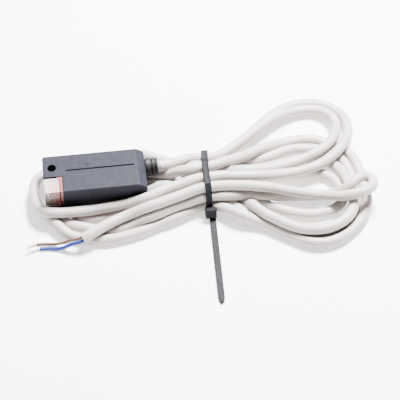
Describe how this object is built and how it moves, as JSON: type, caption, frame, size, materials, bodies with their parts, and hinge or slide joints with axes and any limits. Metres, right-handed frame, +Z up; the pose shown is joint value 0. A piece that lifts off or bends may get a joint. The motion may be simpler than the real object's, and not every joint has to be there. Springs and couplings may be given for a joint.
{
  "type": "photoelectric sensor",
  "caption": "Small rectangular photoelectric sensor with a clear corner lens, fixing hole, ribbed strain relief and a grey two-core lead tied in a hank.",
  "frame": {"origin": "middle of the box around the case and strain relief taken together", "axes": "+X from the lens end to the cable end, +Z up from the flat underside, -Y is the side that the corner lens looks out of"},
  "size_m": [0.1362, 0.0946, 0.0143],
  "materials": {
    "cable_clamp": "crimped steel ring",
    "cable_free_end": "light grey PVC jacket, satin",
    "cable_hank": "light grey PVC jacket, satin",
    "cable_lead_in": "light grey PVC jacket, satin",
    "cable_tie": "black nylon",
    "case_shell": "fine spark-eroded moulded surface, black with a faint blue-grey cast",
    "circuit_board": "green solder mask on glass-fibre board",
    "closing_plate": "moulded black plastic",
    "core_blue": "soft PVC insulation",
    "core_brown": "soft PVC insulation",
    "corner_lens": "clear polycarbonate, polished",
    "drive_transistor": "moulded epoxy package",
    "driver_chip": "moulded epoxy package",
    "emitter_holder": "moulded black plastic",
    "emitter_led": "clear epoxy body",
    "emitter_leg_anode": "tinned lead wire",
    "emitter_leg_cathode": "tinned lead wire",
    "filter_capacitor": "fired ceramic chip",
    "indicator_led": "red-tinted epoxy",
    "inner_core_blue": "soft PVC insulation",
    "inner_core_brown": "soft PVC insulation",
    "protection_diode": "moulded epoxy package",
    "red_light_guide": "red-tinted transparent plastic",
    "resistor_a": "ceramic chip with black glaze",
    "resistor_b": "ceramic chip with black glaze",
    "resistor_c": "ceramic chip with black glaze",
    "smoothing_capacitor": "moulded yellow tantalum case",
    "solder_joint_blue": "solder",
    "solder_joint_brown": "solder",
    "strain_relief_boot": "soft black moulded boot",
    "strands_blue": "tinned copper strands",
    "strands_brown": "tinned copper strands",
    "timing_capacitor": "fired ceramic chip",
    "voltage_regulator": "moulded epoxy package"
  },
  "bodies": {
    "root": {"cable_clamp": "cable_clamp", "cable_free_end": "cable_free_end", "cable_hank": "cable_hank", "cable_lead_in": "cable_lead_in", "cable_tie": "cable_tie", "case_shell": "case_shell", "circuit_board": "circuit_board", "closing_plate": "closing_plate", "core_blue": "core_blue", "core_brown": "core_brown", "corner_lens": "corner_lens", "drive_transistor": "drive_transistor", "driver_chip": "driver_chip", "emitter_holder": "emitter_holder", "emitter_led": "emitter_led", "emitter_leg_anode": "emitter_leg_anode", "emitter_leg_cathode": "emitter_leg_cathode", "filter_capacitor": "filter_capacitor", "indicator_led": "indicator_led", "inner_core_blue": "inner_core_blue", "inner_core_brown": "inner_core_brown", "protection_diode": "protection_diode", "red_light_guide": "red_light_guide", "resistor_a": "resistor_a", "resistor_b": "resistor_b", "resistor_c": "resistor_c", "smoothing_capacitor": "smoothing_capacitor", "solder_joint_blue": "solder_joint_blue", "solder_joint_brown": "solder_joint_brown", "strain_relief_boot": "strain_relief_boot", "strands_blue": "strands_blue", "strands_brown": "strands_brown", "timing_capacitor": "timing_capacitor", "voltage_regulator": "voltage_regulator"}
  },
  "joints": []
}
